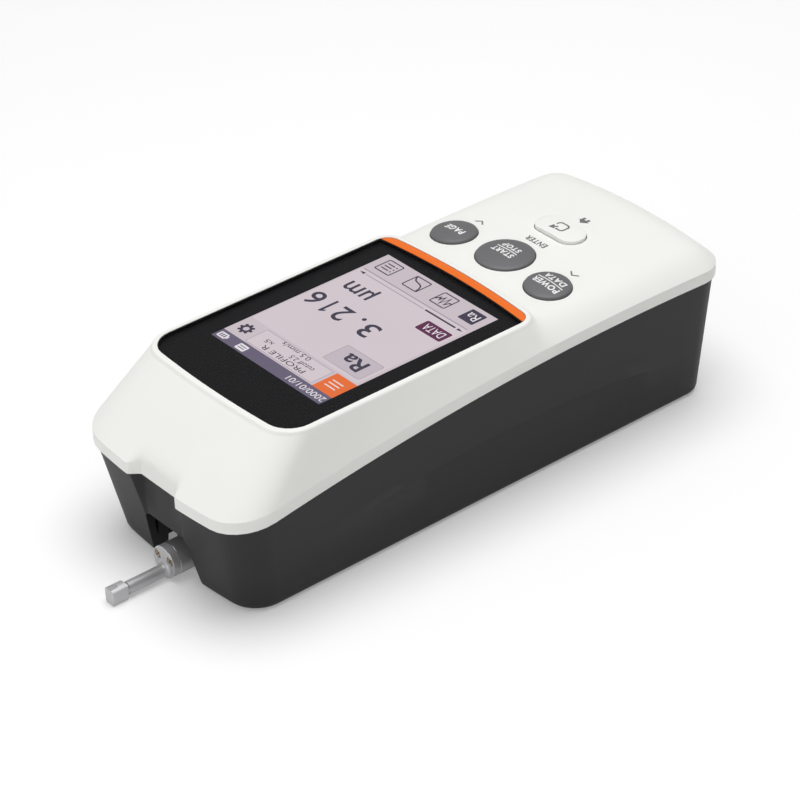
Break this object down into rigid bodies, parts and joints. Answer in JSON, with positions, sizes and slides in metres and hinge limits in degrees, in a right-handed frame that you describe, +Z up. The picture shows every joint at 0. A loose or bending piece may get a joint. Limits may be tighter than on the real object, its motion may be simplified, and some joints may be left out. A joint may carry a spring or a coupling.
{
  "type": "surface roughness tester",
  "caption": "Hand-held roughness tester: white display cover over a dark case, keys on a sloping deck, and a motor drive that draws a skidded stylus detector out of the front.",
  "frame": {"origin": "middle of the whole length and width, on the plane of the base", "axes": "+Y along the case towards the detector, +X to the user's right, +Z up out of the display"},
  "size_m": [0.0666, 0.1796, 0.0485],
  "materials": {
    "cover": "fine satin moulding",
    "case": "fine grained moulding",
    "window": "clear sheet with a dark printed border",
    "accent": "satin",
    "display": "lit screen",
    "frame": "plain",
    "board": "solder mask",
    "silicone": "matte",
    "key": "satin",
    "enter": "satin",
    "battery": "shrink wrap",
    "rubber": "matte",
    "steel": "turned",
    "drive": "fine grained moulding",
    "block": "milled",
    "motor": "drawn can",
    "brass": "plain",
    "detector": "matte plated",
    "screw": "plated",
    "coil": "enamelled wire",
    "tip": "diamond"
  },
  "bodies": {
    "housing": {"top_cover": "cover", "bottom_case": "case", "display_window": "window", "accent_trim": "accent", "display_panel": "display", "display_frame": "frame", "main_board": "board", "key_mat": "silicone", "battery_pack": "battery", "connector_board": "board", "connector_cover": "rubber", "board_screws": "steel", "case_screws": "steel", "drive_housing": "drive", "drive_base": "drive", "bearing_block": "block", "guide_rods": "steel", "drive_motor": "motor", "gearbox": "brass"},
    "screw": {"lead_screw": "steel"},
    "detector": {"carriage": "block", "detector_body": "detector", "nosepiece": "detector", "nosepiece_screws": "screw", "pivot_pin": "steel", "pickup_coil": "coil"},
    "stylus": {"stylus_arm": "steel", "stylus_tip": "tip"},
    "page": {"page_key": "key"},
    "start": {"start_key": "key"},
    "power": {"power_key": "key"},
    "enter": {"enter_key": "enter"}
  },
  "joints": [
    {"name": "detector_traverse", "type": "slide", "parent": "housing", "child": "detector", "axis": [0, -1, 0], "range_m": [0, 0.0175]},
    {"name": "lead_screw_turn", "type": "hinge", "parent": "housing", "child": "screw", "pos_m": [0, 0.03, 0.015], "axis": [0, 1, 0], "range_deg": [0, 6301]},
    {"name": "stylus_pivot", "type": "hinge", "parent": "detector", "child": "stylus", "pos_m": [0, 0.0628, 0.00235], "axis": [1, 0, 0], "range_deg": [-0.4, 0.4], "stiffness_Nm_per_rad": 0.02},
    {"name": "page_press", "type": "slide", "parent": "housing", "child": "page", "axis": [-0.0606, 0.009, -0.9981], "range_m": [0, 0.0006], "stiffness_N_per_m": 800},
    {"name": "start_press", "type": "slide", "parent": "housing", "child": "start", "axis": [0, 0.0102, -0.9999], "range_m": [0, 0.0006], "stiffness_N_per_m": 800},
    {"name": "power_press", "type": "slide", "parent": "housing", "child": "power", "axis": [0.0606, 0.009, -0.9981], "range_m": [0, 0.0006], "stiffness_N_per_m": 800},
    {"name": "enter_press", "type": "slide", "parent": "housing", "child": "enter", "axis": [0, 0.0239, -0.9997], "range_m": [0, 0.0006], "stiffness_N_per_m": 800}
  ],
  "couplings": [
    {"joint": "lead_screw_turn", "follows": "detector_traverse", "rad_per_m": 6283.2}
  ]
}
